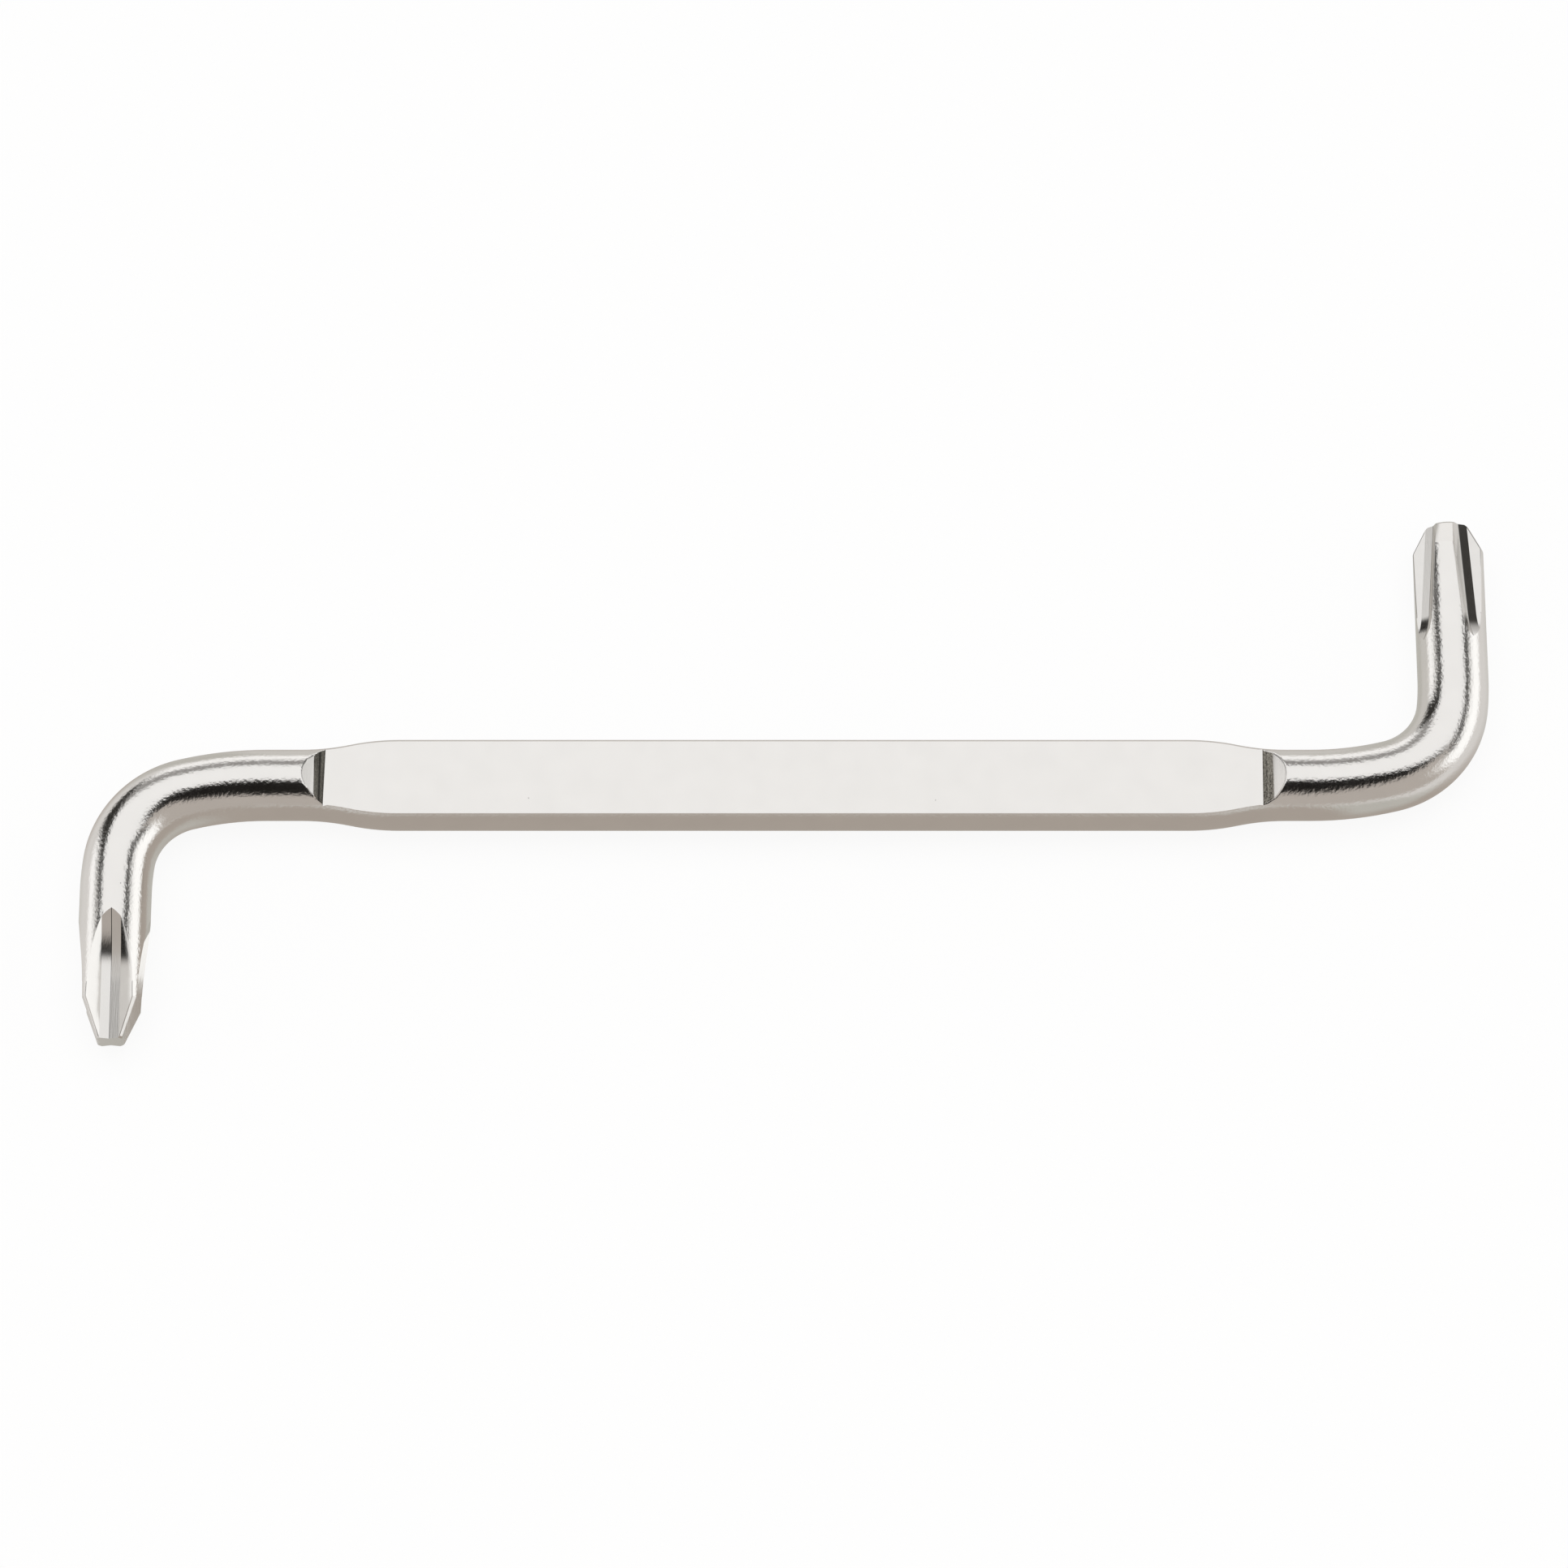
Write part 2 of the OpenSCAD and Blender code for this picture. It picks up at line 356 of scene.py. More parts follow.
def bright_plate():
    """Bright plate over drawn bar: mirror bands with a fine plating grain and a few small pits."""
    look = bpy.context.scene.finishes
    material, graph = new_graph("bright_plate")
    point = graph.place()
    grain = graph.noise(point, 0.00026, 4.0)
    cloud = graph.noise(point, 0.0022, 3.0)
    pits = graph.pits(point, 0.0026, 0.00007)
    tone = graph.mix(cloud, rgba(look.plate, 0.96), rgba(look.plate, 1.03))
    tone = graph.mix(pits * 0.5, tone, rgba(look.plate, 0.3))
    roughness = look.plate_gloss - 0.03 + 0.07 * cloud + 0.15 * pits
    finish_metal(graph, tone, roughness, grain - pits, 0.000022)
    return material


def brushed_flat(name="brushed_flat", lay=(30, 1, 1)):
    """Pressed faces: satin plate with fine brush marks, stretched by lay, and faint mottling."""
    look = bpy.context.scene.finishes
    material, graph = new_graph(name)
    streaks = graph.noise(graph.place(lay), 0.00012, 3.0)
    long_marks = graph.noise(graph.place(lay), 0.0004, 2.0)
    point = graph.place()
    mottle = graph.noise(point, 0.0035, 4.0)
    pits = graph.pits(point, 0.004, 0.0001)
    tone = graph.mix(mottle, rgba(look.flat, 0.95), rgba(look.flat, 1.04))
    tone = graph.mix(0.15 * long_marks.rise(0.55, 0.75), tone, rgba(look.flat, 0.88))
    tone = graph.mix(0.35 * pits, tone, rgba(look.flat, 0.45))
    roughness = look.flat_gloss - 0.05 + 0.06 * streaks + 0.06 * mottle
    # Painted highlight: lighter in a narrow band at each end of the flat, and on the slopes past it
    x = graph.split(point)[0]
    flat_end = sizes().flat_length / 2
    glint_width = 0.0009
    glint_edge = 0.0001
    ends = abs(x - HANDLE_MIDDLE.x).rise(flat_end - glint_width, flat_end - glint_edge)
    tone = graph.mix(0.7 * ends, tone, rgba(look.flat, 1.12))
    finish_metal(graph, tone, roughness, streaks + 0.6 * long_marks - pits, 0.0000018)
    return material


def rough_shaded_strip():
    """Strip at the foot of a shoulder, left rough by the press; its dark tone is partly its own and
    partly painted shade.
    """
    look = bpy.context.scene.finishes
    material, graph = new_graph("rough_shaded_strip")
    x = graph.split(graph.place())[0]
    # 0 along the flat and 1 along the slope
    climb = (abs(x - HANDLE_MIDDLE.x) - sizes().flat_length / 2) / sizes().strip_run
    small_side = 1 - x.rise(-0.001, 0.001)
    speckle = graph.noise(graph.place((1, 1.6, 1.6)), 0.00009, 3.0).rise(0.40, 0.60)
    streak = graph.noise(graph.place((1, 20, 1)), 0.00022, 2.0).rise(0.42, 0.58)
    # Dark speckled tone: the speckle is the rough finish, and the darkness is partly painted shade
    tone = graph.mix(0.6 * speckle + 0.4 * streak, rgba(look.strip, 0.35), rgba(look.strip, 1.7))
    # Painted shade: the strip at the small end is darker, for the dark that its steeper slope mirrors
    tone = graph.mix(0.6 * small_side, tone, rgba(look.strip, 0.2))
    # Painted shade: a near-black band across the middle of the small end's strip
    shade_band = small_side * climb.between(0.28, 0.5, 0.1)
    tone = graph.mix(0.8 * shade_band, tone, rgba(look.strip, 0.06))
    tone = graph.mix(0.8 * climb.rise(0.86, 0.95) * streak, tone, rgba(look.plate))
    finish_metal(graph, tone, 0.36 + 0.16 * speckle, speckle + streak, 0.00003)
    return material


def ground_flute(name="ground_flute", shade=1.0):
    """Ground flutes: bright plate over fine grinding lines that run along the tip."""
    look = bpy.context.scene.finishes
    material, graph = new_graph(name)
    lines = graph.noise(graph.place((1, 25, 1)), 0.00009, 2.0)
    cloud = graph.noise(graph.place(), 0.0015, 3.0)
    # A shade below 1 makes the darker copy that paints the shade along the roots
    tone = graph.mix(cloud, rgba(look.flute, 0.94 * shade), rgba(look.flute, 1.03 * shade))
    finish_metal(graph, tone, look.flute_gloss - 0.03 + 0.06 * cloud, lines, 0.000002)
    return material


def floor_paper():
    """Pale floor: white to the camera with a soft shadow, and duller in the plating's mirror."""
    stage = bpy.context.scene.stage_settings
    material, graph = new_graph("floor_paper")
    x, y = graph.split(graph.place())[:2]
    # Distances in metres at which each tone of the floor begins and is full
    behind = y.rise(0.0, 0.012)
    # Painted shadow: a darker tone near the legs, where the legs and handle shade the floor
    inside = abs(x).rise(0.046, 0.050) * abs(y).rise(0.003, 0.007)
    past_legs = abs(x).rise(0.055, 0.068)
    tone = graph.mix(behind, rgba(stage.floor_front), rgba(stage.floor_behind))
    tone = graph.mix(inside, tone, rgba(stage.floor_shadow_inside))
    tone = graph.mix(past_legs, tone, rgba(stage.floor_sides))
    camera = graph.ray("Is Camera Ray")
    glossy = graph.ray("Is Glossy Ray")
    tone = graph.mix(camera, tone, (1, 1, 1, 1))
    paper = graph.add("ShaderNodeBsdfDiffuse", None, {"Color": tone})
    glow = graph.add("ShaderNodeEmission", None, {"Color": tone, "Strength": 1.0})
    lit = stage.backdrop * (camera + glossy)
    both = graph.add("ShaderNodeMixShader", None, {0: lit, 1: paper, 2: glow})
    graph.add("ShaderNodeOutputMaterial", None, {"Surface": both})
    return material


def light_tent():
    """World: a lit panel overhead with dark gaps round it, bright side walls and dimmer ends.

    Places in it are degrees from straight up, laid out on a disc: across is to the right, and back
    is away from the camera.
    """
    stage = bpy.context.scene.stage_settings
    tent = bpy.context.scene.tent_tones
    world = bpy.data.worlds.new("light_tent")
    world.use_nodes = True
    bpy.context.scene.world = world
    graph = Graph(world.node_tree)
    x, y, z = graph.split(graph.add("ShaderNodeTexCoord"))
    reach = math.degrees(1) * z.arccos() / (x * x + y * y).above(1e-6).root()
    across = x * reach
    back = y * reach
    # The panel's right edge leans outwards in front, and turns inwards behind
    outer = across - 0.35 * (22 - back).above(0)
    inner = outer + (back - 25).above(0)
    panel_left = across.rise(-42, -35)
    panel_right = inner.rise(30, 37)
    # The left gap runs along the panel's left edge into the corner behind it
    left_gap = (across + 0.69 * back.above(24)).rise(-38, -29) * (1 - panel_left)
    front_gap = (back - 0.45 * across.above(0)).rise(-58, -48) * (1 - back.rise(-8, 0))
    front_ends = across.rise(-28, -18) * (1 - (across - 0.8 * back).rise(38, 48))
    # Each layer covers those before it
    layers = (
        (back.rise(60, 76) * across.between(-34, 60, 10), tent.back_wall),
        (across.rise(40, 66) * back.between(-38, 52, 12), tent.right_wall),
        ((1 - across.rise(-72, -54)) * back.between(-60, 46, 12), tent.left_wall),
        (1 - across.rise(-104, -78), tent.left_end),
        (left_gap * back.between(14, 78, 8), tent.left_gap),
        (back.between(48, 66, 5) * across.between(-40, 22, 6), tent.back_gap),
        (panel_right * (1 - outer.rise(42, 51)) * back.between(-14, 54, 7), tent.right_gap),
        (front_gap * front_ends, tent.front_gap),
        (panel_left * (1 - panel_right) * back.between(-4, 48, 4), tent.panel),
    )
    tone = graph.mix(back.rise(-30, 30), rgba(tent.front), rgba(tent.behind))
    for cover, shade in layers:
        tone = graph.mix(cover, tone, rgba(shade))
    # Below the horizon the tent goes on as the floor
    tone = graph.mix(z.rise(-0.05, 0.0), rgba(stage.floor_sides), tone)
    tone = graph.mix(graph.ray("Is Camera Ray"), tone, (1, 1, 1, 1))
    light = graph.add("ShaderNodeBackground", None, {"Color": tone, "Strength": 1.0})
    graph.add("ShaderNodeOutputWorld", None, {"Surface": light})


def pick(kind, test):
    """Selects the vertices, edges or faces of the mesh in edit mode that pass a test."""
    bpy.ops.mesh.select_mode(type=kind)
    bpy.ops.mesh.select_all(action="DESELECT")
    mesh = bpy.context.edit_object.data
    work = bmesh.from_edit_mesh(mesh)
    for item in {"VERT": work.verts, "EDGE": work.edges, "FACE": work.faces}[kind]:
        if test(item):
            item.select_set(True)
    work.select_flush_mode()
    bmesh.update_edit_mesh(mesh)


def extrude(step):
    bpy.ops.mesh.extrude_region_move(TRANSFORM_OT_translate={"value": step})


def bar_ring(name, point, heading, radius):
    """Starts a piece from an open ring of the bar, square to a heading in the floor's plane."""
    bpy.ops.object.select_all(action="DESELECT")
    bpy.ops.mesh.primitive_circle_add(
        vertices=RING_POINTS,
        radius=radius,
        location=point,
        rotation=(math.pi / 2, 0, heading + math.pi / 2),
    )
    piece = bpy.context.object
    piece.name = name
    piece.data.name = name
    bpy.ops.object.transform_apply(location=True, rotation=True, scale=True)
    bpy.ops.object.mode_set(mode="EDIT")
    bpy.ops.mesh.select_mode(type="VERT")
    bpy.ops.mesh.select_all(action="SELECT")
    return piece


def close_ends():
    """Puts a cap on each open ring of the mesh in edit mode."""
    bpy.ops.mesh.select_mode(type="EDGE")
    bpy.ops.mesh.select_all(action="DESELECT")
    bpy.ops.mesh.select_non_manifold()
    bpy.ops.mesh.edge_face_add()
    bpy.ops.mesh.select_all(action="SELECT")
    bpy.ops.mesh.normals_make_consistent(inside=False)


def cut_away(piece, cutter):
    """Cuts a closed shape out of a piece."""
    bpy.ops.object.select_all(action="DESELECT")
    piece.select_set(True)
    bpy.context.view_layer.objects.active = piece
    bpy.ops.object.modifier_add(type="BOOLEAN")
    modifier = piece.modifiers[-1]
    modifier.operation = "DIFFERENCE"
    modifier.solver = "EXACT"
    modifier.object = cutter
    bpy.ops.object.modifier_apply(modifier=modifier.name)


def put_material(piece, material, test):
    """Gives a material to the faces that pass a test, with the piece in edit mode."""
    bpy.ops.object.material_slot_add()
    piece.material_slots[-1].material = material
    pick("FACE", test)
    bpy.ops.object.material_slot_assign()


def finish_piece(piece, slot, *nodes):
    """Smooths a piece, ties it to the body and hides the nodes that it stands for."""
    bpy.ops.object.mode_set(mode="OBJECT")
    bpy.ops.object.shade_smooth_by_angle(angle=SMOOTH_ANGLE)
    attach(piece, "root")
    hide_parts(*nodes)


def swell_at(distance):
    """How far the handle's edges have swelled out at a distance from its middle."""
    full = sizes().edge_swell
    run = HANDLE_HALF - STRAIGHT_HALF
    radius = (run * run + full * full) / (4 * full)
    from_end = min(max(HANDLE_HALF - distance, 0), run)
    if from_end < run / 2:
        return radius - math.sqrt(radius**2 - from_end**2)
    return full - radius + math.sqrt(radius**2 - (run - from_end) ** 2)


def press_tool(side):
    """Block that presses one flat, with a rough strip and then a smooth slope at each end."""
    bar = sizes()
    flat_z = bar.thickness / 2
    drop = bar.bar_d / 2 - flat_z
    slope_run = HANDLE_HALF - bar.edge_round - bar.flat_length / 2 - bar.strip_run
    # The slope is carried on past the bar's surface, so that the cut is clean
    past = 2.0
    bpy.ops.object.select_all(action="DESELECT")
    middle = HANDLE_MIDDLE + Vector((0, 0, side * flat_z))
    scene = bpy.context.scene
    ends = ((-1, scene.small_end.strip_rise), (1, scene.large_end.strip_rise))
    bpy.ops.mesh.primitive_plane_add(size=1, location=middle)
    tool = bpy.context.object
    bpy.ops.transform.resize(value=(bar.flat_length, 3 * bar.bar_d, 1))
    bpy.ops.object.transform_apply(location=True, rotation=True, scale=True)
    bpy.ops.object.mode_set(mode="EDIT")
    for end, strip_rise in ends:
        edge_x = middle.x + end * bar.flat_length / 2
        pick("EDGE", lambda edge: all(abs(v.co.x - edge_x) < NEAR for v in edge.verts))
        extrude((end * bar.strip_run, 0, side * strip_rise))
        extrude((end * past * slope_run, 0, side * past * (drop - strip_rise)))
    bpy.ops.mesh.select_mode(type="FACE")
    bpy.ops.mesh.select_all(action="SELECT")
    extrude((0, 0, side * bar.bar_d))
    bpy.ops.mesh.select_all(action="SELECT")
    bpy.ops.mesh.normals_make_consistent(inside=False)
    bpy.ops.object.mode_set(mode="OBJECT")
    return tool


class SCREWDRIVER_OT_handle(Operator):
    """Model the pressed handle: bar drawn out at its edges, flattened, with rounded edges"""

    bl_idname = "screwdriver.handle"
    bl_label = "Handle"

    swell_steps = 7
    edge_steps = 8
    # Share of a face's normal that lies along the handle on a slope, and upright on a flat
    slope_lean = (0.3, 0.95)
    flat_level = 0.9999

    def execute(self, context):
        bar = sizes()
        start = HANDLE_MIDDLE - Vector((HANDLE_HALF, 0, 0))
        piece = bar_ring("handle", start, 0, bar.bar_d / 2)
        self.draw_out()
        close_ends()
        bpy.ops.object.mode_set(mode="OBJECT")
        for side in (-1, 1):
            tool = press_tool(side)
            cut_away(piece, tool)
            bpy.data.objects.remove(tool)
        bpy.ops.object.mode_set(mode="EDIT")
        self.round_edges()
        self.paint(piece)
        nodes = ("handle_bar", "small_shoulder", "large_shoulder")
        finish_piece(piece, "satin_plate", *nodes)
        return {"FINISHED"}

    def stations(self):
        """Distances from the handle's middle at which its section is drawn."""
        run = HANDLE_HALF - STRAIGHT_HALF
        steps = 2 * self.swell_steps
        half = [STRAIGHT_HALF + run * step / steps for step in range(steps + 1)]
        return [-distance for distance in reversed(half)] + half

    def draw_out(self):
        """Extrudes the ring along the handle and moves its two sides out with the swell."""
        stations = self.stations()
        for before, now in zip(stations, stations[1:]):
            extrude((now - before, 0, 0))
            growth = swell_at(abs(now)) - swell_at(abs(before))
            here = HANDLE_MIDDLE.x + now
            for side in (-1, 1):
                pick("VERT", lambda vert: self.on_side(vert, here, side))
                bpy.ops.transform.translate(value=(0, side * growth, 0))
            pick("VERT", lambda vert: abs(vert.co.x - here) < NEAR)

    def on_side(self, vert, here, side):
        return abs(vert.co.x - here) < NEAR and side * (vert.co.y - HANDLE_MIDDLE.y) > NEAR

    def on_flat(self, vert):
        return abs(abs(vert.co.z - HANDLE_MIDDLE.z) - sizes().thickness / 2) < NEAR

    def round_edges(self):
        """Rounds the edge round each pressed face, and frames each flat so that it shades level."""
        bpy.ops.mesh.select_all(action="SELECT")
        bpy.ops.mesh.remove_doubles(threshold=sizes().edge_round / 2)
        pick("EDGE", self.is_rim)
        bpy.ops.mesh.bevel(
            offset=sizes().edge_round,
            segments=self.edge_steps,
            profile=0.5,
            clamp_overlap=False,
            loop_slide=False,
        )
        pick("FACE", self.is_flat)
        bpy.ops.mesh.inset(thickness=0.5 * sizes().edge_round, use_boundary=True)

    def is_rim(self, edge):
        """Whether an edge divides a pressed face from the bar's own round side."""
        pressed = [self.is_flat(face) or self.is_slope(face) for face in edge.link_faces]
        return sum(pressed) == 1

    def is_slope(self, face):
        """Whether a face is in a shoulder's strip or slope: it leans, and is no end of the bar."""
        least, most = self.slope_lean
        return least < abs(face.normal.x) < most

    def is_flat(self, face):
        level = abs(face.normal.z) > self.flat_level
        return level and all(self.on_flat(vert) for vert in face.verts)

    def is_strip(self, face):
        outer = sizes().flat_length / 2 + sizes().strip_run + NEAR
        near = all(abs(vert.co.x - HANDLE_MIDDLE.x) < outer for vert in face.verts)
        return near and self.is_slope(face)

    def paint(self, piece):
        put_material(piece, bright_plate(), lambda face: True)
        put_material(piece, brushed_flat(), self.is_flat)
        put_material(piece, brushed_flat("brushed_slope", (1, 30, 1)), self.is_slope)
        put_material(piece, rough_shaded_strip(), self.is_strip)


class SCREWDRIVER_OT_arms(Operator):
    """Model the two bent arms: neck, elbow and blade"""

    bl_idname = "screwdriver.arms"
    bl_label = "Arms"

    sweep_steps = 8
    elbow_steps = 36

    def execute(self, context):
        plate = bright_plate()
        ends = (("small", context.scene.small_end, math.pi), ("large", context.scene.large_end, 0))
        for name, end, heading in ends:
            piece = self.bend_bar(name + "_arm", name + "_tip", end, heading)
            bpy.ops.object.material_slot_add()
            piece.material_slots[-1].material = plate
            nodes = [name + part for part in ("_neck", "_elbow", "_blade")]
            finish_piece(piece, "bright_plate", *nodes)
        return {"FINISHED"}

    def bend_bar(self, name, tip_node, end, heading):
        bar = sizes()
        ahead = Vector((math.cos(heading), 0, 0))
        point = HANDLE_MIDDLE + HANDLE_HALF * ahead
        piece = bar_ring(name, point, heading, bar.bar_d / 2)
        extrude(end.neck_length * ahead)
        point = point + end.neck_length * ahead
        elbow = math.pi / 2 - bar.neck_sweep - bar.blade_sweep
        bends = (
            (bar.neck_sweep_r, bar.neck_sweep, self.sweep_steps),
            (bar.elbow_r, elbow, self.elbow_steps),
            (bar.blade_sweep_r, bar.blade_sweep, self.sweep_steps),
        )
        for radius, angle, steps in bends:
            point, heading = self.turn_left(radius, angle, steps, point, heading)
        low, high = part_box(tip_node)
        blade_end = high.y if math.sin(heading) < 0 else low.y
        extrude((0, blade_end - point.y, 0))
        close_ends()
        return piece

    def turn_left(self, radius, angle, steps, point, heading):
        """Spins the end ring to the left, and gives the new end and heading.

        Seen along its axis the spin turns with the clock, so a left turn has its axis down.
        """
        centre = point + radius * Vector((-math.sin(heading), math.cos(heading), 0))
        bpy.ops.mesh.spin(steps=steps, angle=angle, center=centre, axis=(0, 0, -1))
        heading = heading + angle
        return centre + radius * Vector((math.sin(heading), -math.cos(heading), 0)), heading


class SCREWDRIVER_OT_tips(Operator):
    """Model the two cross tips: a tapered blank with four ground flutes"""

    bl_idname = "screwdriver.tips"
    bl_label = "Tips"

    flutes = 4
    # An edge along a wing is rounded if it folds by more than this and is this many roundings long
    wing_fold = math.radians(40)
    wing_run = 6
    # Fold along the bottom of a flute, and how much darker its line of painted shade is
    root_fold = math.radians(28)
    root_shade = 0.4
    # Share of a face's normal that points outwards on the blank's round side
    land_lean = 0.97

    def execute(self, context):
        scene = context.scene
        ends = (("small", scene.small_end, -math.pi / 2), ("large", scene.large_end, math.pi / 2))
        for name, end, heading in ends:
            low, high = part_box(name + "_tip")
            length = high.y - low.y
            piece = self.blank(name + "_tip", end, length)
            wheel = self.wheel(end, length)
            for flute in range(self.flutes):
                wheel.rotation_euler.x = end.tip_turn + flute * 2 * math.pi / self.flutes
                cut_away(piece, wheel)
            bpy.data.objects.remove(wheel)
            self.dress(piece)
            piece.location = ((low.x + high.x) / 2, high.y if heading < 0 else low.y, HANDLE_MIDDLE.z)
            piece.rotation_euler.z = heading
            bpy.ops.object.transform_apply(location=True, rotation=True, scale=True)
            finish_piece(piece, "ground_plate", name + "_tip")
        return {"FINISHED"}

    def blank(self, name, end, length):
        """Round blank along +X from the origin, tapered to a blunt nose."""
        bar_r = sizes().bar_d / 2
        tip = tip_sizes()
        nose_r = end.nose_d / 2
        taper = (bar_r - nose_r) / math.tan(tip.nose_taper)
        # The packed node has the plain name already
        piece = bar_ring(name + "_ground", (0, 0, 0), 0, bar_r)
        stops = (
            (length - tip.nose_edge - taper, bar_r),
            (length - tip.nose_edge, nose_r),
            (length, nose_r - tip.nose_edge),
        )
        at = 0
        radius = bar_r
        for stop, stop_r in stops:
            extrude((stop - at, 0, 0))
            factor = stop_r / radius
            bpy.ops.transform.resize(value=(1, factor, factor), center_override=(stop, 0, 0))
            at = stop
            radius = stop_r
        close_ends()
        bpy.ops.object.mode_set(mode="OBJECT")
        return piece

    def wheel(self, end, length):
        """Grinding wheel of the flute that faces up, and its straight way out past the nose.

        The wheel leaves the bar's surface at the flute's end and goes in to its full depth, and the
        way out is the straight floor, through the root at the nose.
        """
        bar = sizes()
        tip = tip_sizes()
        root = Vector((length, end.core_d / 2))
        leave = Vector((tip.tip_lead, bar.bar_d / 2))
        chord = root - leave
        slope = math.atan2(-chord.y, chord.x) - math.asin(end.plunge / chord.length)
        onward = Vector((math.cos(slope), -math.sin(slope)))
        upward = Vector((math.sin(slope), math.cos(slope)))
        run = math.sqrt(2 * end.wheel_r * end.plunge - end.plunge**2)
        touch = root + onward * (run - chord.dot(onward))
        centre = touch + end.wheel_r * upward
        # The wheel starts a little outside the bar, so that the cut is clean
        past = math.radians(3)
        first = math.atan2(leave.y - centre.y, leave.x - centre.x) - past
        last = math.atan2(touch.y - centre.y, touch.x - centre.x)
        floor_r = end.wheel_r - end.root_width / 2 / math.tan(end.root_angle / 2)
        wall_w = end.root_width / 2 + bar.bar_d / math.tan(tip.flank_angle)
        wheel = self.wheel_section(end, floor_r, wall_w)
        bpy.ops.mesh.spin(steps=tip.wheel_steps, angle=last - first, center=(0, 0, 0), axis=(0, 1, 0))
        set_up = Matrix.Rotation(-first - math.pi / 2, 3, "Y")
        extrude(set_up.inverted() @ Vector((length * onward.x, 0, length * onward.y)))
        close_ends()
        bpy.ops.object.mode_set(mode="OBJECT")
        wheel.rotation_euler = set_up.to_euler()
        wheel.location = (centre.x, 0, centre.y)
        bpy.ops.object.transform_apply(location=True, rotation=True, scale=True)
        return wheel

    def wheel_section(self, end, floor_r, wall_w):
        """Outline of the wheel's rim, under its centre at the origin: two walls and a shallow V."""
        depth = sizes().bar_d
        bpy.ops.object.select_all(action="DESELECT")
        bpy.ops.mesh.primitive_plane_add(size=1, rotation=(0, math.pi / 2, 0))
        wheel = bpy.context.object
        bpy.ops.object.transform_apply(location=True, rotation=True, scale=True)
        bpy.ops.object.mode_set(mode="EDIT")
        half = 0.5
        for side, width, reach in ((-1, end.root_width, floor_r), (1, 2 * wall_w, floor_r - depth)):
            pick("VERT", lambda vert: side * vert.co.z > half - NEAR)
            bpy.ops.transform.resize(value=(1, width, 1))
            bpy.ops.transform.translate(value=(0, 0, -reach - side * half))
        pick("EDGE", lambda edge: all(vert.co.z < NEAR - floor_r for vert in edge.verts))
        bpy.ops.mesh.subdivide(number_cuts=1)
        pick("VERT", lambda vert: abs(vert.co.y) < NEAR)
        bpy.ops.transform.translate(value=(0, 0, floor_r - end.wheel_r))
        bpy.ops.mesh.select_mode(type="FACE")
        bpy.ops.mesh.select_all(action="SELECT")
        bpy.ops.mesh.delete(type="ONLY_FACE")
        bpy.ops.mesh.select_mode(type="VERT")
        bpy.ops.mesh.select_all(action="SELECT")
        return wheel

    def dress(self, piece):
        """Rounds the wings' edges, paints shade along the flutes' roots and plates the flutes and the
        lands.
        """
        tip = tip_sizes()
        bpy.ops.object.mode_set(mode="EDIT")
        bpy.ops.mesh.select_all(action="SELECT")
        bpy.ops.mesh.remove_doubles(threshold=tip.edge_round / 2)
        pick("EDGE", self.is_sharp)
        bpy.ops.mesh.bevel(offset=tip.edge_round, segments=2, profile=0.5, clamp_overlap=False)
        put_material(piece, ground_flute(), lambda face: True)
        put_material(piece, bright_plate(), self.is_land)
        pick("EDGE", self.is_root)
        bpy.ops.mesh.bevel(offset=tip.root_line, segments=1, clamp_overlap=False)
        # Painted shade: a darker copy of the flute's plate on the thin strip along each root
        bpy.ops.object.material_slot_add()
        piece.material_slots[-1].material = ground_flute("flute_root", self.root_shade)
        bpy.ops.object.material_slot_assign()
        bpy.ops.object.mode_set(mode="OBJECT")

    def is_sharp(self, edge):
        """Whether an edge is one of the long ones along a wing."""
        along = [vert.co.x for vert in edge.verts]
        if len(edge.link_faces) != 2 or min(along) < NEAR:
            return False
        if abs(along[0] - along[1]) < self.wing_run * tip_sizes().edge_round:
            return False
        return edge.calc_face_angle_signed() > self.wing_fold

    def is_root(self, edge):
        """Whether an edge lies along the bottom of a flute."""
        return len(edge.link_faces) == 2 and edge.calc_face_angle_signed() < -self.root_fold

    def is_land(self, face):
        """Whether a face is on the blank's round side."""
        middle = face.calc_center_median()
        outward = Vector((0, middle.y, middle.z))
        return outward.length > NEAR and face.normal.dot(outward.normalized()) > self.land_lean


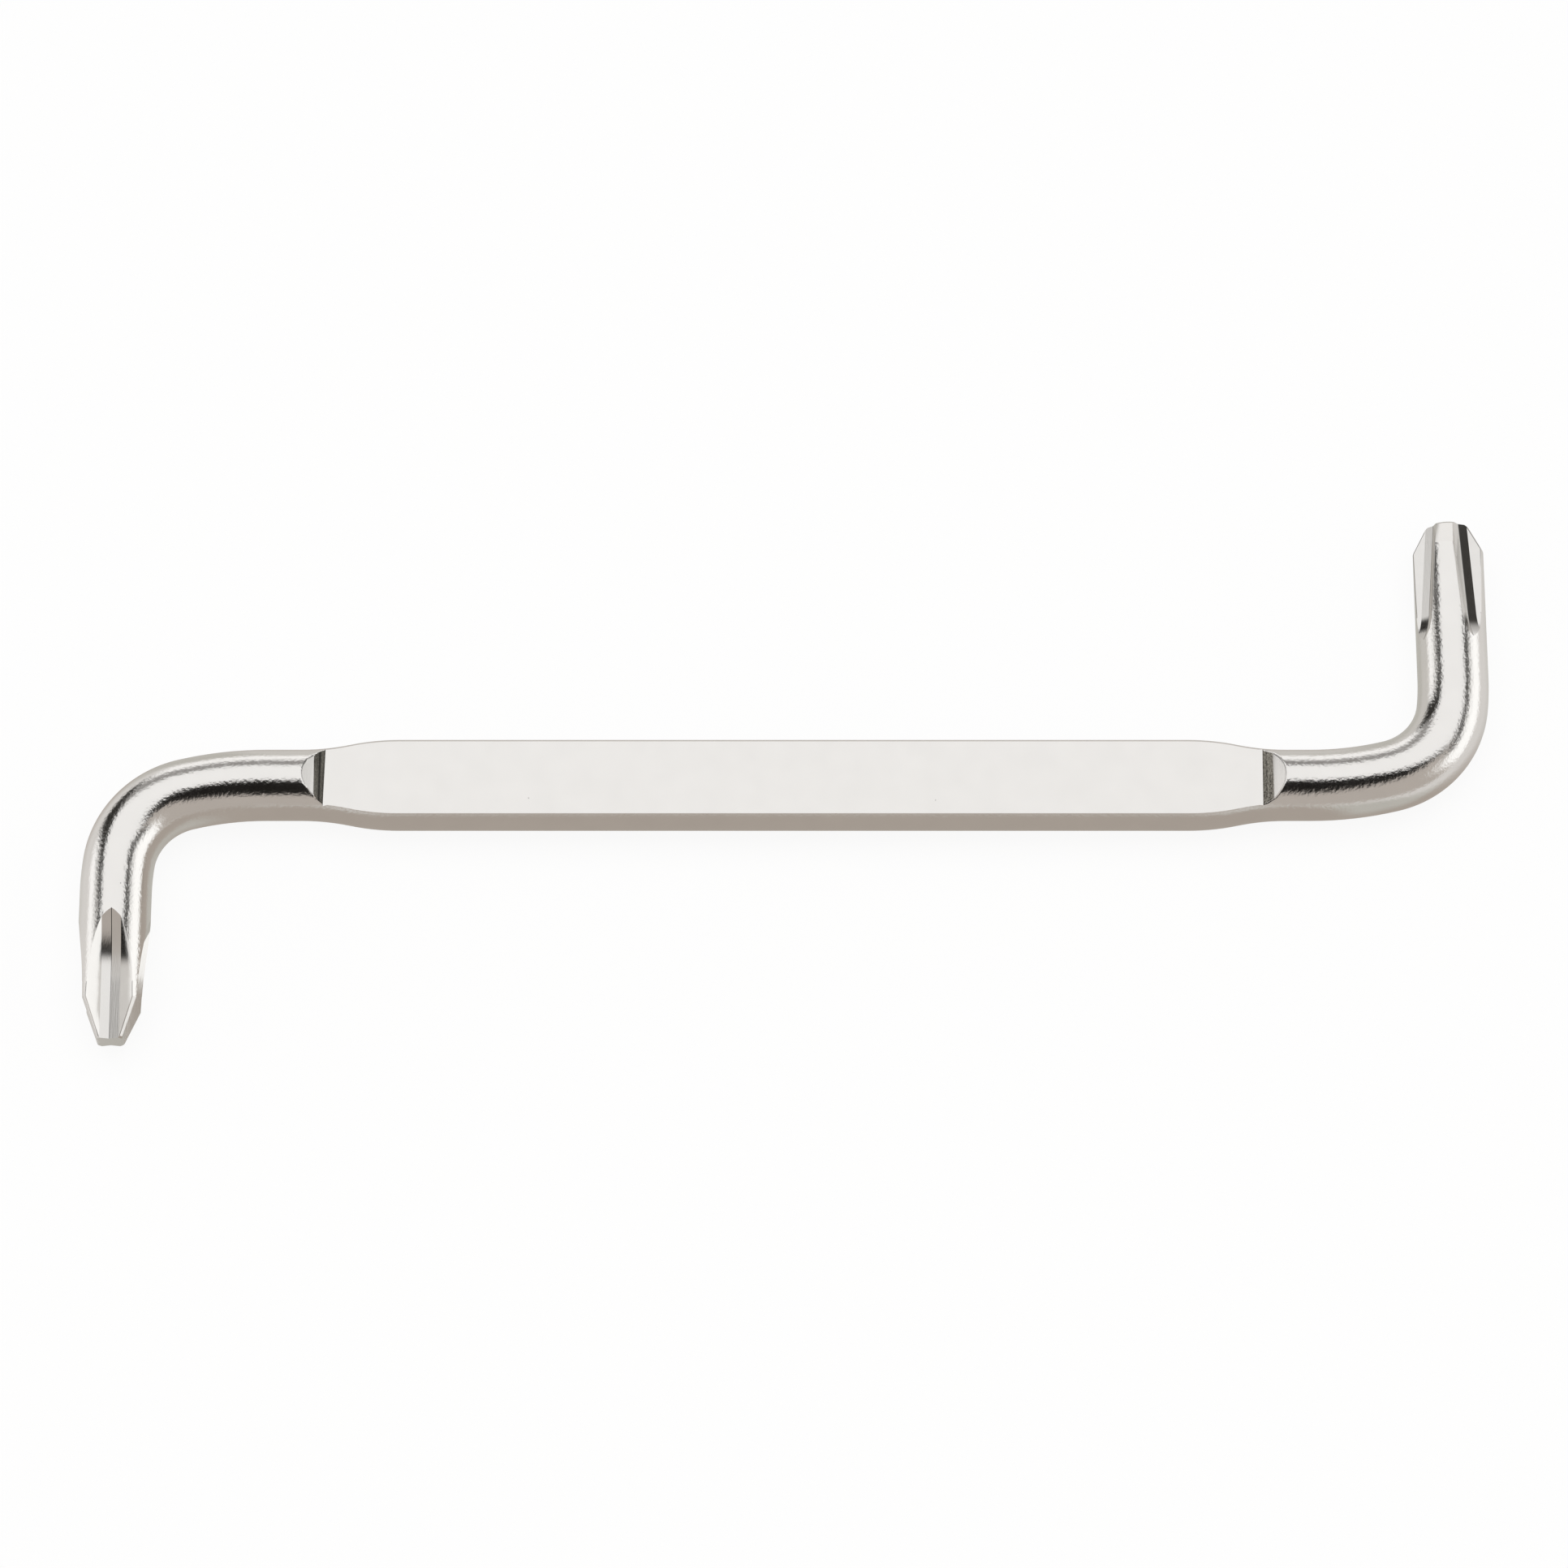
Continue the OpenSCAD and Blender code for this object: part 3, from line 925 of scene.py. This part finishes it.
class SCREWDRIVER_OT_stage(Operator):
    """Set up the pale floor, the light tent and the camera"""

    bl_idname = "screwdriver.stage"
    bl_label = "Stage"

    sensor_mm = 36.0
    lamp_height = 0.9
    lamp_width = 1.2

    def execute(self, context):
        stage = context.scene.stage_settings
        context.scene.view_settings.view_transform = "Standard"
        bpy.ops.object.select_all(action="DESELECT")
        bpy.ops.mesh.primitive_plane_add(size=stage.floor_width)
        floor = context.object
        floor.name = "floor"
        floor.data.materials.append(floor_paper())
        light_tent()
        bpy.ops.object.light_add(type="AREA", location=(0, 0, self.lamp_height))
        lamp = context.object
        lamp.name = "fill_lamp"
        lamp.data.size = self.lamp_width
        lamp.data.energy = stage.fill_light
        lamp.visible_glossy = False
        self.add_camera(context, stage)
        return {"FINISHED"}

    def add_camera(self, context, stage):
        away = Vector((0, -math.cos(stage.elevation), math.sin(stage.elevation)))
        place = Vector(stage.aim) + stage.distance * away
        tilt = math.pi / 2 - stage.elevation
        bpy.ops.object.camera_add(location=place, rotation=(tilt, 0, 0))
        camera = context.object
        camera.data.sensor_width = self.sensor_mm
        camera.data.lens = self.sensor_mm * stage.distance / stage.field
        camera.data.clip_start = 0.01
        context.scene.camera = camera


class SCREWDRIVER_PT_panel(Panel):
    """Panel with the screwdriver's pieces, sizes and finishes"""

    bl_idname = "SCREWDRIVER_PT_panel"
    bl_label = "Offset screwdriver"
    bl_space_type = "VIEW_3D"
    bl_region_type = "UI"
    bl_category = "Screwdriver"

    def draw(self, context):
        for operator in OPERATORS:
            self.layout.operator(operator.bl_idname)
        for attribute, group in GROUPS.items():
            box = self.layout.box()
            box.label(text=group.__doc__)
            for name in group.__annotations__:
                box.prop(getattr(context.scene, attribute), name)


OPERATORS = (SCREWDRIVER_OT_handle, SCREWDRIVER_OT_arms, SCREWDRIVER_OT_tips, SCREWDRIVER_OT_stage)
GROUPS = {
    "bar_sizes": BarSizes,
    "tip_sizes": TipSizes,
    "small_end": SmallEnd,
    "large_end": LargeEnd,
    "finishes": Finishes,
    "stage_settings": StageSettings,
    "tent_tones": TentTones,
}


def register():
    for group in GROUPS.values():
        bpy.utils.register_class(group)
    for attribute, group in GROUPS.items():
        setattr(bpy.types.Scene, attribute, PointerProperty(type=group))
    for operator in OPERATORS:
        bpy.utils.register_class(operator)
    bpy.utils.register_class(SCREWDRIVER_PT_panel)


def unregister():
    bpy.utils.unregister_class(SCREWDRIVER_PT_panel)
    for operator in reversed(OPERATORS):
        bpy.utils.unregister_class(operator)
    for attribute in GROUPS:
        delattr(bpy.types.Scene, attribute)
    for group in reversed(GROUPS.values()):
        bpy.utils.unregister_class(group)


def main():
    register()
    bpy.ops.screwdriver.handle()
    bpy.ops.screwdriver.arms()
    bpy.ops.screwdriver.tips()
    bpy.ops.screwdriver.stage()


if __name__ == "__main__":
    main()
